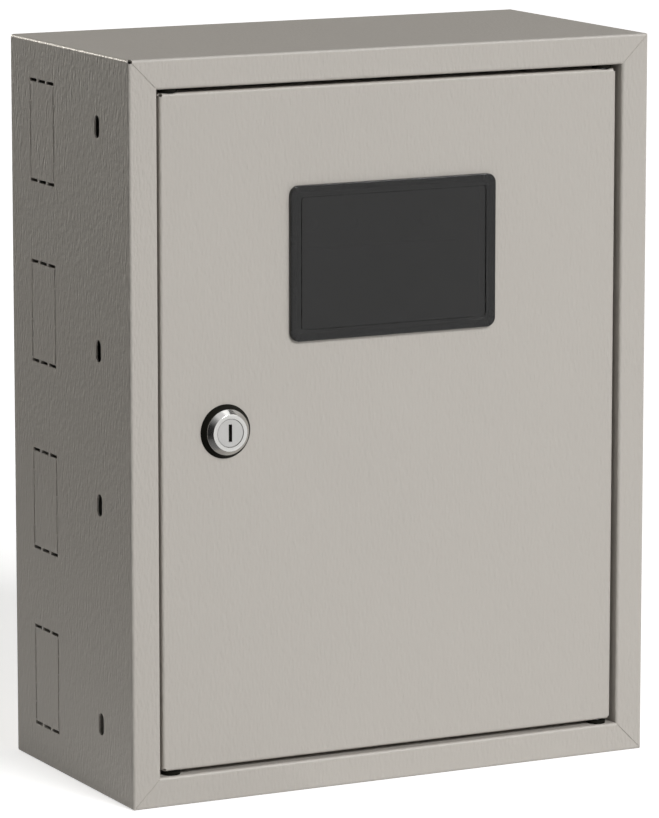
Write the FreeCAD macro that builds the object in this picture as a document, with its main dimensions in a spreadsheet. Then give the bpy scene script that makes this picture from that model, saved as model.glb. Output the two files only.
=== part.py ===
import FreeCAD, Part
import math
import os
import re
import Sketcher

# Electric meter box in millimetres. X runs to the right, Y into the wall and Z up. The origin lies
# on the wall plane at the centre of the four wall holes, and depths are measured from the wall.
SIZES = {
    # folded case
    "box_width": 310.0,
    "box_height": 398.0,
    "box_depth": 152.0,
    "sheet_thickness": 1.0,
    "bend_inside": 0.6,
    "frame_face": 16.2,
    "lip_depth": 18.0,
    "seam_width": 0.3,
    "seam_depth": 0.3,
    "frame_relief": 2.2,
    "frame_relief_inset": 1.0,
    # knock-outs and slots in the sides
    "knockout_width": 31.3,
    "knockout_height": 54.2,
    "knockout_depth": 40.6,
    "knockout_inner": 51.7,
    "knockout_outer": 150.0,
    "row_slit": 1.8,
    "column_slit": 1.0,
    "row_bridge": 1.9,
    "column_bridge": 0.8,
    "corner_bridge": 0.8,
    "slot_width": 6.6,
    "slot_length": 12.1,
    "slot_depth": 111.6,
    "slot_inner": 41.4,
    "slot_outer": 160.4,
    # rear pan
    "pan_fold": 12.0,
    "weld_gap": 0.1,
    "wall_hole": 8.0,
    "wall_span_x": 250.0,
    "wall_span_z": 340.0,
    # door
    "door_gap": 2.4,
    "door_recess": 2.4,
    "door_fold": 14.0,
    "door_relief": 1.8,
    "door_relief_inset": 0.8,
    # hinge
    "hinge_gap": 0.2,
    "pin_diameter": 5.0,
    "pin_clearance": 0.05,
    "pin_engagement": 2.4,
    "pin_point": 0.8,
    "pin_head": 6.4,
    "pin_head_gap": 0.1,
    "pin_head_height": 1.5,
    "bush_flange": 10.2,
    "bush_flange_height": 2.0,
    "bush_stem": 8.0,
    "bush_stem_length": 3.6,
    "bush_clearance": 0.05,
    "bracket_thickness": 1.5,
    "bracket_drop": 22.0,
    "bracket_leg": 16.0,
    "bracket_reach": 13.0,
    "bracket_depth": 9.0,
    "bracket_gap": 0.3,
    "clip_diameter": 6.8,
    "clip_height": 0.8,
    # window
    "window_width": 123.0,
    "window_height": 83.2,
    "window_level": 86.5,
    "window_corner": 5.2,
    "window_proud": 2.3,
    "window_edge": 0.7,
    "pane_inset": 6.0,
    "pane_corner": 2.0,
    "pane_recess": 0.2,
    "groove_width": 0.5,
    "groove_depth": 0.9,
    "window_lap": 4.0,
    "cutout_corner": 3.0,
    "cutout_clearance": 0.2,
    "skirt_wall": 1.6,
    "skirt_depth": 7.0,
    "hook_width": 12.0,
    "hook_span": 70.0,
    "hook_reach": 1.2,
    "hook_play": 0.1,
    # lock
    "lock_inset": 37.2,
    "collar_base": 29.4,
    "collar_top": 25.0,
    "collar_height": 2.7,
    "rim_base": 24.5,
    "rim_top": 19.6,
    "rim_height": 3.7,
    "barrel_diameter": 18.0,
    "barrel_clearance": 0.2,
    "thread_clearance": 0.05,
    "plug_face": 14.8,
    "plug_recess": 0.25,
    "plug_head": 3.0,
    "plug_diameter": 11.0,
    "plug_clearance": 0.08,
    "plug_play": 0.2,
    "key_width": 2.0,
    "key_height": 9.3,
    "key_depth": 8.0,
    "lock_washer": 26.0,
    "lock_washer_height": 1.0,
    "lock_nut": 24.0,
    "lock_nut_height": 4.0,
    "cam_clearance": 0.6,
    "cam_thickness": 2.0,
    "cam_length": 45.0,
    "cam_width": 14.0,
    "cam_hub": 20.0,
    "cam_tip": 3.0,
    "cam_square": 7.0,
    "cam_fit": 0.05,
    "cam_washer": 12.0,
    "cam_washer_height": 1.0,
    "cam_screw": 5.0,
    "cam_screw_head": 8.0,
    "cam_screw_head_height": 3.5,
    "cam_screw_length": 8.0,
    # mounting panel
    "panel_margin_x": 45.0,
    "panel_margin_z": 49.0,
    "panel_thickness": 1.5,
    "panel_corner": 4.0,
    "panel_standoff": 18.0,
    "panel_stud_inset": 15.0,
    "meter_slot_length": 40.0,
    "meter_slot_width": 6.0,
    "meter_slot_level": 10.0,
    "meter_slot_pitch": 60.0,
    # studs, nuts and washers of one thread size
    "stud_diameter": 6.0,
    "stud_shoulder": 10.0,
    "stud_length": 11.0,
    "stud_clearance": 0.3,
    "stud_washer": 12.0,
    "stud_washer_height": 1.2,
    "stud_nut": 10.0,
    "stud_nut_height": 5.0,
    # rail for modular devices
    "rail_margin": 5.0,
    "rail_width": 35.0,
    "rail_base": 27.0,
    "rail_height": 7.5,
    "rail_thickness": 1.0,
    "rail_slot_length": 15.0,
    "rail_slot_width": 6.2,
    "rail_slot_pitch": 25.0,
    "rail_screw": 5.0,
    "rail_screw_head": 9.5,
    "rail_screw_head_height": 3.0,
    "rail_screw_length": 8.0,
    "rail_nut": 8.0,
    "rail_nut_height": 4.0,
    # neutral and earth bars
    "neutral_rise": 75.0,
    "earth_rise": 30.0,
    "bar_end": 6.0,
    "bar_depth": 9.0,
    "bar_height": 6.5,
    "bar_pitch": 9.0,
    "bar_wire_hole": 5.2,
    "bar_wire_depth": 3.2,
    "bar_screw": 4.0,
    "bar_screw_head": 6.5,
    "bar_screw_head_height": 2.4,
    "bar_screw_lift": 1.2,
    "foot_offset": 8.5,
    "foot_width": 10.0,
    "foot_height": 18.0,
    "foot_base": 18.0,
    "foot_top": 9.0,
    "foot_peg": 5.0,
    "foot_peg_length": 2.5,
    "foot_bolt_length": 9.0,
    # earth studs
    "earth_stud_inset": 30.0,
    "earth_stud_rise": 99.0,
    "earth_stud_length": 20.0,
    "door_stud_inset": 41.4,
    "door_stud_rise": 30.4,
    "door_stud_length": 11.0,
}

# Places worked out from the driving sizes
BEND = "(bend_inside + sheet_thickness)"
OPEN_X = "(box_width / 2 - frame_face)"
OPEN_Z = "(box_height / 2 - frame_face)"
FRAME_START = f"(box_depth - 2 * {BEND})"
LIP_END = "(box_depth - lip_depth)"
DOOR_X = "(box_width / 2 - frame_face - door_gap)"
DOOR_Z = "(box_height / 2 - frame_face - door_gap)"
DOOR_FACE = "(box_depth - door_recess)"
DOOR_BACK = "(box_depth - door_recess - sheet_thickness)"
PIN_REACH = "(bracket_thickness + bend_inside + pin_head_gap + pin_head / 2)"
HINGE_X = f"({DOOR_X} - sheet_thickness - {PIN_REACH})"
HINGE_Y = f"(hinge_gap + clip_diameter / 2 - {DOOR_BACK})"
PIN_BORE = "(pin_diameter + 2 * pin_clearance)"
EAR_Z = f"({DOOR_Z} - bracket_drop)"
CUTOUT_X = "(window_width - 2 * window_lap)"
CUTOUT_Z = "(window_height - 2 * window_lap)"
LOCK_X = f"(lock_inset - {DOOR_X})"
LOCK_FACE = f"({DOOR_FACE} + collar_height + rim_height)"
PLUG_FACE = f"({LOCK_FACE} - plug_recess)"
CAM_FRONT = f"({LIP_END} - cam_clearance)"
CAM_BACK = f"({CAM_FRONT} - cam_thickness)"
BARREL_END = f"({CAM_FRONT} + plug_play)"
PANEL_X = "(box_width / 2 - panel_margin_x)"
PANEL_Z = "(box_height / 2 - panel_margin_z)"
PANEL_STUD_X = f"({PANEL_X} - panel_stud_inset)"
PANEL_STUD_Z = f"({PANEL_Z} - panel_stud_inset)"
PANEL_BACK = "(sheet_thickness + panel_standoff)"
PANEL_FRONT = "(sheet_thickness + panel_standoff + panel_thickness)"
RAIL_LENGTH = f"(2 * {PANEL_X} - 2 * rail_margin)"
RAIL_SEAT = f"({PANEL_FRONT} + rail_thickness)"
BAR_SEAT = f"({PANEL_FRONT} + foot_height)"
BAR_FRONT = f"({PANEL_FRONT} + foot_height + bar_depth)"
NEUTRAL_Z = f"(neutral_rise - {PANEL_Z})"
EARTH_Z = f"(earth_rise - {PANEL_Z})"
EARTH_STUD_X = "(earth_stud_inset - box_width / 2)"
EARTH_STUD_Z = "(earth_stud_rise - box_height / 2)"
DOOR_STUD_X = f"({DOOR_X} - door_stud_inset)"
DOOR_STUD_Z = f"(door_stud_rise - {DOOR_Z})"

BAR_WAYS = 8
LAST_WAY = f"({(BAR_WAYS - 1) / 2} * bar_pitch)"
FOOT_X = f"({LAST_WAY} + foot_offset)"
ROW_SLITS = 3
COLUMN_SLITS = 5

doc = FreeCAD.newDocument("meter_box")
dims = doc.addObject("Spreadsheet::Sheet", "dims")
for row, (alias, value) in enumerate(SIZES.items(), start=1):
    dims.set(f"A{row}", alias)
    dims.set(f"B{row}", str(value))
    dims.setAlias(f"B{row}", alias)
doc.recompute()


def bound(text):
    """Turns words such as box_width in an expression into references to the sheet."""
    return re.sub(r"[a-z]\w+", lambda word: "dims." + word.group(), text)


def number(text):
    """Value of an expression over the sheet."""
    return float(dims.evalExpression(bound(text)))


# As many slots as the rail's length takes, with a screw in the first and the last
RAIL_SLOTS = int(number(f"{RAIL_LENGTH} / rail_slot_pitch"))
RAIL_SCREW_X = f"({(RAIL_SLOTS - 1) / 2} * rail_slot_pitch)"


# Bodies and sketches

def new_body(name, x="0", y="0", z="0"):
    body = doc.addObject("PartDesign::Body", name)
    body.Label = name
    for axis, text in (("x", x), ("y", y), ("z", z)):
        body.setExpression("Placement.Base." + axis, bound(text))
    return body


def plane(body, role):
    return next(feature for feature in body.Origin.OriginFeatures if feature.Role == role)


def sketch_on(body, role, offset="0"):
    """Sketch on one of the body's origin planes, moved along the plane's normal."""
    sketch = body.newObject("Sketcher::SketchObject", body.Label + "_sketch")
    sketch.AttachmentSupport = (plane(body, role), [""])
    sketch.MapMode = "FlatFace"
    sketch.setExpression("AttachmentOffset.Base.z", bound(offset))
    return sketch


def front_sketch(body, depth="0"):
    """Sketch seen from the front, in X and Z, at a depth in front of the wall."""
    return sketch_on(body, "XZ_Plane", depth)


def side_sketch(body, x="0"):
    """Sketch seen from the right, in Y and Z."""
    return sketch_on(body, "YZ_Plane", x)


def plan_sketch(body, z="0"):
    """Sketch seen from above, in X and Y."""
    return sketch_on(body, "XY_Plane", z)


def tie(sketch, kind, value, *elements):
    """Adds a constraint whose value follows an expression."""
    constraint = Sketcher.Constraint(kind, *elements, number(value))
    index = sketch.addConstraint(constraint)
    sketch.setExpression(f"Constraints[{index}]", bound(value))


def lock(sketch, geometry, point, x, y):
    """Places a point of the sketch from the sketch's origin."""
    tie(sketch, "DistanceX", x, -1, 1, geometry, point)
    tie(sketch, "DistanceY", y, -1, 1, geometry, point)


def outline(sketch, corners):
    """Closed outline through corners (x, y) or, at a rounded right angle, (x, y, radius)."""
    count = len(corners)
    spots = [FreeCAD.Vector(number(corner[0]), number(corner[1]), 0) for corner in corners]
    starts, ends, centres = [], [], []
    for i, (x, y, *radius) in enumerate(corners):
        back = (spots[i - 1] - spots[i]).normalize()
        ahead = (spots[(i + 1) % count] - spots[i]).normalize()
        places = [(x, y)] * 3
        if radius:
            places = [(f"{x} + {step.x:.0f} * ({radius[0]})", f"{y} + {step.y:.0f} * ({radius[0]})")
                      for step in (back, ahead, back + ahead)]
        starts.append(places[0])
        ends.append(places[1])
        centres.append(places[2] if radius else None)
    lines = []
    for i in range(count):
        line = Part.LineSegment(spot(ends[i]), spot(starts[(i + 1) % count]))
        lines.append(sketch.addGeometry(line, False))
    for i in range(count):
        lock(sketch, lines[i], 1, *ends[i])
        if centres[i] is None:
            sketch.addConstraint(Sketcher.Constraint("Coincident", lines[i - 1], 2, lines[i], 1))
        else:
            lock(sketch, lines[i - 1], 2, *starts[i])
            join_arc(sketch, (lines[i - 1], 2), (lines[i], 1), centres[i], spots[i], "DistanceX")


def spot(place):
    return FreeCAD.Vector(number(place[0]), number(place[1]), 0)


def join_arc(sketch, first, second, centre, outside, held):
    """Joins two line ends by an arc about a centre, bulging towards a point outside."""
    start, end = (sketch.getPoint(*line_end) for line_end in (first, second))
    middle = spot(centre)
    bulge = middle + (outside - middle).normalize() * start.distanceToPoint(middle)
    arc = sketch.addGeometry(Part.Arc(start, bulge, end), False)
    forward = sketch.getPoint(arc, 1).distanceToPoint(start) < 1e-6
    for line_end, arc_end in ((first, 1 if forward else 2), (second, 2 if forward else 1)):
        sketch.addConstraint(Sketcher.Constraint("Coincident", *line_end, arc, arc_end))
    tie(sketch, held, centre[0 if held == "DistanceX" else 1], -1, 1, arc, 3)


def rectangle(sketch, x, y, width, height, radius=None):
    """Rectangle about a centre, with its corners rounded where a radius is given."""
    left, right = f"{x} - ({width}) / 2", f"{x} + ({width}) / 2"
    low, high = f"{y} - ({height}) / 2", f"{y} + ({height}) / 2"
    corners = [(left, low), (right, low), (right, high), (left, high)]
    if radius:
        corners = [corner + (radius,) for corner in corners]
    outline(sketch, corners)


def hexagon(sketch, x, y, across):
    """Hexagon about a centre, by its width across flats."""
    corners = []
    for k in range(6):
        reach_x = math.cos(math.radians(60 * k)) / math.sqrt(3)
        reach_y = math.sin(math.radians(60 * k)) / math.sqrt(3)
        corners.append((f"{x} + {across} * {reach_x:.9f}", f"{y} + {across} * {reach_y:.9f}"))
    outline(sketch, corners)


def circle(sketch, x, y, diameter):
    centre = FreeCAD.Vector(number(x), number(y), 0)
    normal = FreeCAD.Vector(0, 0, 1)
    ring = sketch.addGeometry(Part.Circle(centre, normal, number(diameter) / 2), False)
    lock(sketch, ring, 3, x, y)
    tie(sketch, "Diameter", diameter, ring)


def obround(sketch, x, y, length, width, upright=True):
    """Slot with round ends, along the sketch's second axis or, where not upright, its first."""
    half, radius = f"(({length}) - ({width})) / 2", f"({width}) / 2"
    along, across = ((0, 1), (1, 0)) if upright else ((1, 0), (0, 1))

    def place(run, side):
        return (f"{x} + {run * along[0]} * {half} + {side * across[0]} * {radius}",
                f"{y} + {run * along[1]} * {half} + {side * across[1]} * {radius}")

    lines = []
    for side in (1, -1):
        start, end = place(-side, side), place(side, side)
        lines.append(sketch.addGeometry(Part.LineSegment(spot(start), spot(end)), False))
        lock(sketch, lines[-1], 1, *start)
        lock(sketch, lines[-1], 2, *end)
    held = "DistanceY" if upright else "DistanceX"
    middle = spot((x, y))
    for first, second, run in ((lines[0], lines[1], 1), (lines[1], lines[0], -1)):
        centre = place(run, 0)
        outside = spot(centre) * 2 - middle
        join_arc(sketch, (first, 2), (second, 1), centre, outside, held)


# Features

def extrude(kind, sketch, length, symmetric, reverse):
    feature = sketch.getParentGeoFeatureGroup().newObject("PartDesign::" + kind, sketch.Label + "_" + kind)
    feature.Profile = sketch
    feature.SideType = "Symmetric" if symmetric else "One side"
    feature.Reversed = reverse
    if length:
        feature.setExpression("Length", bound(length))
    else:
        feature.Type = "ThroughAll"
    doc.recompute()
    return feature


def pad(sketch, length, symmetric=False, reverse=False):
    return extrude("Pad", sketch, length, symmetric, reverse)


def pocket(sketch, length=None, symmetric=False, reverse=False):
    """Cut to a length, or right through where none is given."""
    return extrude("Pocket", sketch, length, symmetric, reverse)


def revolve(sketch, axis):
    feature = sketch.getParentGeoFeatureGroup().newObject("PartDesign::Revolution", sketch.Label + "_turn")
    feature.Profile = sketch
    feature.ReferenceAxis = (sketch, [axis])
    doc.recompute()
    return feature


def sweep(profile, path):
    """Sweeps a bent-sheet profile round a rectangle, with mitred corners."""
    body = profile.getParentGeoFeatureGroup()
    feature = body.newObject("PartDesign::AdditivePipe", profile.Label + "_sweep")
    feature.Profile = profile
    feature.Spine = path
    feature.Transition = "Right corner"
    doc.recompute()
    return feature


def fillet(feature, radius, chosen):
    """Rounds the chosen edges of the last feature."""
    names = [f"Edge{i}" for i, edge in enumerate(feature.Shape.Edges, start=1) if chosen(edge)]
    rounded = feature.getParentGeoFeatureGroup().newObject("PartDesign::Fillet", feature.Label + "_fillet")
    rounded.Base = (feature, names)
    rounded.setExpression("Radius", bound(radius))
    doc.recompute()
    return rounded


def rows(body, sketch, axis, length, count):
    """Row of copies along an axis of the sketch that they were drawn in."""
    step = body.newObject("PartDesign::LinearPattern", body.Label + "_row")
    step.Direction = (sketch, [axis])
    step.setExpression("Length", bound(length))
    step.Occurrences = count
    return step


def mirror(body, role):
    step = body.newObject("PartDesign::Mirrored", body.Label + "_mirror")
    step.MirrorPlane = (plane(body, role), [""])
    return step


def repeat(originals, *steps):
    """Repeats features by a chain of rows and mirrors."""
    body = originals[0].getParentGeoFeatureGroup()
    pattern = body.newObject("PartDesign::MultiTransform", body.Label + "_pattern")
    pattern.Originals = originals
    pattern.Transformations = list(steps)
    body.Tip = pattern
    doc.recompute()
    return pattern


def four_corners(originals):
    """Repeats features in the four quarters of the front view."""
    body = originals[0].getParentGeoFeatureGroup()
    return repeat(originals, mirror(body, "YZ_Plane"), mirror(body, "XY_Plane"))


# Folded case

def round_long_edges(body, half_x, half_z, depth, length, reverse=False):
    """Trims the mitred bends to the rounded long edges of a folded shell."""
    trim = front_sketch(body, depth)
    rectangle(trim, "0", "0", f"2 * {half_x} + 4 * {BEND}", f"2 * {half_z} + 4 * {BEND}")
    rectangle(trim, "0", "0", f"2 * {half_x}", f"2 * {half_z}", BEND)
    return pocket(trim, length, reverse=reverse)


def corner_seam(body, from_x, from_z):
    """Shallow seam along the mitre from the opening's corner to the case's corner."""
    seam = front_sketch(body, "box_depth")
    shift = f"seam_width / 2 * {math.sqrt(2):.9f}"
    outline(seam, [
        (f"{from_x} + {shift}", from_z),
        (f"box_width / 2 + {shift}", "box_height / 2"),
        ("box_width / 2", f"box_height / 2 + {shift}"),
        (from_x, f"{from_z} + {shift}"),
    ])
    return pocket(seam, "seam_depth")


def make_wrapper():
    """One strip folded into four walls, with a mitred front frame and return lips."""
    body = new_body("wrapper")
    walls = front_sketch(body)
    rectangle(walls, "0", "0", "box_width", "box_height", BEND)
    rectangle(walls, "0", "0", "box_width - 2 * sheet_thickness", "box_height - 2 * sheet_thickness",
              "bend_inside")
    pad(walls, FRAME_START)
    path = front_sketch(body, "box_depth")
    rectangle(path, "0", "0", "box_width", "box_height")
    frame = side_sketch(body)
    outline(frame, [
        (f"-{FRAME_START}", "box_height / 2"),
        ("-box_depth", "box_height / 2", BEND),
        ("-box_depth", OPEN_Z, BEND),
        (f"-{LIP_END}", OPEN_Z),
        (f"-{LIP_END}", f"{OPEN_Z} + sheet_thickness"),
        ("sheet_thickness - box_depth", f"{OPEN_Z} + sheet_thickness", "bend_inside"),
        ("sheet_thickness - box_depth", "box_height / 2 - sheet_thickness", "bend_inside"),
        (f"-{FRAME_START}", "box_height / 2 - sheet_thickness"),
    ])
    sweep(frame, path)
    round_long_edges(body, "(box_width / 2)", "(box_height / 2)", "box_depth", f"2 * {BEND}")
    four_corners([corner_seam(body, OPEN_X, OPEN_Z)])
    relief = front_sketch(body, "box_depth")
    circle(relief, "frame_relief_inset - box_width / 2", "box_height / 2 - frame_relief_inset",
           "frame_relief")
    pocket(relief, f"2 * {BEND}")
    hinge_holes = plan_sketch(body)
    for side in ("", "-"):
        circle(hinge_holes, f"{side}{HINGE_X}", HINGE_Y, "bush_stem + 2 * bush_clearance")
    pocket(hinge_holes, f"2 * ({OPEN_Z} + 2 * sheet_thickness)", symmetric=True)
    cut_knockouts(body)
    cut_side_slots(body)


def cut_knockouts(body):
    """Broken slit outlines of four knock-outs, through both sides."""
    row_length = f"((knockout_width - {ROW_SLITS - 1} * row_bridge) / {ROW_SLITS})"
    column_run = "(knockout_height - row_slit - 2 * corner_bridge)"
    column_length = f"(({column_run} - {COLUMN_SLITS - 1} * column_bridge) / {COLUMN_SLITS})"
    pair_step = "(knockout_outer - knockout_inner)"
    row = side_sketch(body)
    rectangle(row, f"{row_length} / 2 - knockout_depth - knockout_width / 2",
              "knockout_inner - knockout_height / 2", row_length, "row_slit")
    repeat([pocket(row, symmetric=True)],
           rows(body, row, "H_Axis", f"{ROW_SLITS - 1} * ({row_length} + row_bridge)", ROW_SLITS),
           rows(body, row, "V_Axis", "knockout_height", 2),
           rows(body, row, "V_Axis", pair_step, 2),
           mirror(body, "XY_Plane"))
    column = side_sketch(body)
    rectangle(column, "-knockout_depth - knockout_width / 2 + column_slit / 2",
              f"knockout_inner - {column_run} / 2 + {column_length} / 2", "column_slit", column_length)
    repeat([pocket(column, symmetric=True)],
           rows(body, column, "V_Axis", f"{COLUMN_SLITS - 1} * ({column_length} + column_bridge)",
                COLUMN_SLITS),
           rows(body, column, "H_Axis", "knockout_width - column_slit", 2),
           rows(body, column, "V_Axis", pair_step, 2),
           mirror(body, "XY_Plane"))


def cut_side_slots(body):
    """Two pairs of slots in each side, for joining boxes side by side."""
    slot = side_sketch(body)
    obround(slot, "-slot_depth", "slot_inner", "slot_length", "slot_width")
    repeat([pocket(slot, symmetric=True)],
           rows(body, slot, "V_Axis", "slot_outer - slot_inner", 2),
           mirror(body, "XY_Plane"))


def fold_pan(body, half_x, half_z, face, fold, toward_wall):
    """Flat sheet with its four edges folded to one side and mitred at the corners."""
    sign = "+" if toward_wall else "-"
    skin = front_sketch(body, face)
    rectangle(skin, "0", "0", f"2 * {half_x} - 4 * {BEND}", f"2 * {half_z} - 4 * {BEND}")
    pad(skin, "sheet_thickness", reverse=toward_wall)
    path = front_sketch(body, face)
    rectangle(path, "0", "0", f"2 * {half_x}", f"2 * {half_z}")
    edge = side_sketch(body)
    inner = f"{sign}sheet_thickness - {face}"
    tip = f"{sign}{fold} - {face}"
    outline(edge, [
        (f"-{face}", f"{half_z} - 2 * {BEND}"),
        (f"-{face}", half_z, BEND),
        (tip, half_z),
        (tip, f"{half_z} - sheet_thickness"),
        (inner, f"{half_z} - sheet_thickness", "bend_inside"),
        (inner, f"{half_z} - 2 * {BEND}"),
    ])
    sweep(edge, path)
    return round_long_edges(body, half_x, half_z, face, fold, reverse=not toward_wall)


def make_back_panel():
    """Pan that closes the rear, its folds welded inside the walls."""
    body = new_body("back_panel")
    half_x = "(box_width / 2 - sheet_thickness - weld_gap)"
    half_z = "(box_height / 2 - sheet_thickness - weld_gap)"
    fold_pan(body, half_x, half_z, "0", "pan_fold", toward_wall=False)
    holes = front_sketch(body)
    for side_x in ("", "-"):
        for side_z in ("", "-"):
            circle(holes, f"{side_x}wall_span_x / 2", f"{side_z}wall_span_z / 2", "wall_hole")
    pocket(holes, "2 * sheet_thickness", symmetric=True)


# Door and hinge

def make_door_panel():
    body = new_body("door_panel")
    fold_pan(body, DOOR_X, DOOR_Z, DOOR_FACE, "door_fold", toward_wall=True)
    openings = front_sketch(body, DOOR_FACE)
    rectangle(openings, "0", "window_level", CUTOUT_X, CUTOUT_Z, "cutout_corner")
    circle(openings, LOCK_X, "0", "barrel_diameter + 2 * barrel_clearance")
    pocket(openings, "2 * sheet_thickness", symmetric=True)
    relief = front_sketch(body, DOOR_FACE)
    circle(relief, f"{DOOR_X} - door_relief_inset", f"{DOOR_Z} - door_relief_inset", "door_relief")
    four_corners([pocket(relief, f"2 * {BEND}")])
    pin_holes = plan_sketch(body)
    circle(pin_holes, HINGE_X, HINGE_Y, PIN_BORE)
    pocket(pin_holes, symmetric=True)


def make_hinge_bushes():
    """Flanged bushes in the lips on both sides, so that the door can be hung either way."""
    body = new_body("hinge_bushes", y=HINGE_Y)
    flange = plan_sketch(body, f"{OPEN_Z} - bush_flange_height")
    circle(flange, HINGE_X, "0", "bush_flange")
    circle(flange, HINGE_X, "0", PIN_BORE)
    stem = plan_sketch(body, OPEN_Z)
    circle(stem, HINGE_X, "0", "bush_stem")
    circle(stem, HINGE_X, "0", PIN_BORE)
    four_corners([pad(flange, "bush_flange_height"), pad(stem, "bush_stem_length")])


def make_hinge_pins():
    """Headed pins that pass through a bracket's ear and the door's fold into a bush."""
    body = new_body("hinge_pins", HINGE_X, HINGE_Y)
    ear_low = f"({EAR_Z} - bracket_thickness)"
    tip = f"({OPEN_Z} + pin_engagement)"
    profile = front_sketch(body)
    outline(profile, [
        ("0", f"{ear_low} - pin_head_height"),
        ("pin_head / 2", f"{ear_low} - pin_head_height"),
        ("pin_head / 2", ear_low),
        ("pin_diameter / 2", ear_low),
        ("pin_diameter / 2", f"{tip} - pin_point"),
        ("pin_diameter / 2 - pin_point / 2", tip),
        ("0", tip),
    ])
    repeat([revolve(profile, "V_Axis")], mirror(body, "XY_Plane"))


def make_hinge_brackets():
    """Angles welded to the hinge-side fold, each with an ear that carries a pin."""
    body = new_body("hinge_brackets", HINGE_X, HINGE_Y)
    outer = f"({DOOR_X} - sheet_thickness - {HINGE_X})"
    angle = front_sketch(body, f"{DOOR_BACK} + {HINGE_Y} - bracket_gap")
    outline(angle, [
        (outer, EAR_Z, "bend_inside + bracket_thickness"),
        (f"{outer} - bracket_reach", EAR_Z),
        (f"{outer} - bracket_reach", f"{EAR_Z} - bracket_thickness"),
        (f"{outer} - bracket_thickness", f"{EAR_Z} - bracket_thickness", "bend_inside"),
        (f"{outer} - bracket_thickness", f"{EAR_Z} - bracket_leg"),
        (outer, f"{EAR_Z} - bracket_leg"),
    ])
    ear = pad(angle, "bracket_depth", reverse=True)
    bore = plan_sketch(body, EAR_Z)
    circle(bore, "0", "0", PIN_BORE)
    repeat([ear, pocket(bore, "bracket_thickness")], mirror(body, "XY_Plane"))


def make_pin_clips():
    """Clips on the pins, which rest on the brackets' ears."""
    body = new_body("pin_clips", HINGE_X, HINGE_Y)
    ring = plan_sketch(body, EAR_Z)
    circle(ring, "0", "0", "clip_diameter")
    circle(ring, "0", "0", PIN_BORE)
    repeat([pad(ring, "clip_height")], mirror(body, "XY_Plane"))


# Window

def make_window():
    """Smoked moulding with a groove round its pane, a skirt through the door and snap hooks behind it."""
    body = new_body("window", z="window_level")
    rim = front_sketch(body, DOOR_FACE)
    rectangle(rim, "0", "0", "window_width", "window_height", "window_corner")
    plate = pad(rim, "window_proud")
    front = -number(f"{DOOR_FACE} + window_proud")
    fillet(plate, "window_edge", lambda edge: abs(edge.BoundBox.YMax - front) < 1e-4)
    pane_x = "(window_width - 2 * pane_inset)"
    pane_z = "(window_height - 2 * pane_inset)"
    pane = front_sketch(body, f"{DOOR_FACE} + window_proud")
    rectangle(pane, "0", "0", pane_x, pane_z, "pane_corner")
    pocket(pane, "pane_recess")
    groove = front_sketch(body, f"{DOOR_FACE} + window_proud")
    rectangle(groove, "0", "0", pane_x, pane_z, "pane_corner")
    rectangle(groove, "0", "0", f"{pane_x} - 2 * groove_width", f"{pane_z} - 2 * groove_width",
              "pane_corner - groove_width")
    pocket(groove, "groove_depth")
    skirt_x = f"({CUTOUT_X} - 2 * cutout_clearance)"
    skirt_z = f"({CUTOUT_Z} - 2 * cutout_clearance)"
    skirt = front_sketch(body, DOOR_FACE)
    rectangle(skirt, "0", "0", skirt_x, skirt_z, "cutout_corner - cutout_clearance")
    rectangle(skirt, "0", "0", f"{skirt_x} - 2 * skirt_wall", f"{skirt_z} - 2 * skirt_wall",
              "cutout_corner - cutout_clearance - skirt_wall / 2")
    pad(skirt, "skirt_depth", reverse=True)
    hook = side_sketch(body, "hook_span / 2")
    seat = f"hook_play - {DOOR_BACK}"
    tip = f"skirt_depth - {DOOR_FACE}"
    outline(hook, [
        (seat, f"{skirt_z} / 2 - skirt_wall / 2"),
        (seat, f"{skirt_z} / 2 + hook_reach"),
        (tip, f"{skirt_z} / 2"),
        (tip, f"{skirt_z} / 2 - skirt_wall / 2"),
    ])
    four_corners([pad(hook, "hook_width", symmetric=True)])


# Cam lock, with each piece turned about the lock's own axis

def turned(name, corners):
    """Piece turned about the lock's axis from a section in Y and radius."""
    body = new_body(name, LOCK_X)
    section = side_sketch(body)
    outline(section, corners)
    revolve(section, "H_Axis")
    return body


def make_lock_collar():
    bore = "barrel_diameter / 2 + barrel_clearance"
    turned("lock_collar", [
        (f"-{DOOR_FACE}", bore),
        (f"-{DOOR_FACE}", "collar_base / 2"),
        (f"-{DOOR_FACE} - collar_height", "collar_top / 2"),
        (f"-{DOOR_FACE} - collar_height", bore),
    ])


def make_lock_housing():
    """Cone rim on a barrel, bored in two steps for the plug."""
    rim = f"-{DOOR_FACE} - collar_height"
    seat = f"plug_head + plug_play - {PLUG_FACE}"
    turned("lock_housing", [
        (f"-{LOCK_FACE}", "plug_face / 2 + plug_clearance"),
        (f"-{LOCK_FACE}", "rim_top / 2"),
        (rim, "rim_base / 2"),
        (rim, "barrel_diameter / 2"),
        (f"-{BARREL_END}", "barrel_diameter / 2"),
        (f"-{BARREL_END}", "plug_diameter / 2 + plug_clearance"),
        (seat, "plug_diameter / 2 + plug_clearance"),
        (seat, "plug_face / 2 + plug_clearance"),
    ])


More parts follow.
